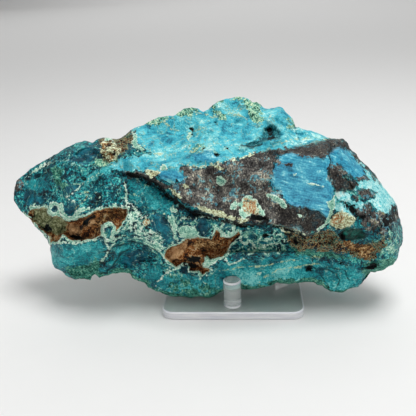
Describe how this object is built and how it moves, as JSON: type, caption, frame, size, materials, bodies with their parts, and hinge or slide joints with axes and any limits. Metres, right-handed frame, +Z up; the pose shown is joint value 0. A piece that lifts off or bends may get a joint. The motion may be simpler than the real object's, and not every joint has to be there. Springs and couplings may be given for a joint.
{
  "type": "chrysocolla specimen on a display stand",
  "caption": "Rough mineral slab leaning on a clear peg stand, for display on a shelf or a table.",
  "frame": {"origin": "centre of the base plate's underside", "axes": "+X to the right along the slab's length, +Y away from the viewer through the slab's thickness, +Z up"},
  "size_m": [0.2144, 0.0678, 0.1086],
  "materials": {
    "chrysocolla_rock": "broken rock: silky blue-green chrysocolla with pale mint veins, dull black manganese crusts and earthy iron-stained hollows",
    "clear_acrylic": "cast acrylic with flame-polished edges, clear and glossy"
  },
  "bodies": {
    "root": {"specimen": "chrysocolla_rock", "stand_base": "clear_acrylic", "peg_front": "clear_acrylic", "peg_back_left": "clear_acrylic", "peg_back_right": "clear_acrylic"}
  },
  "joints": []
}
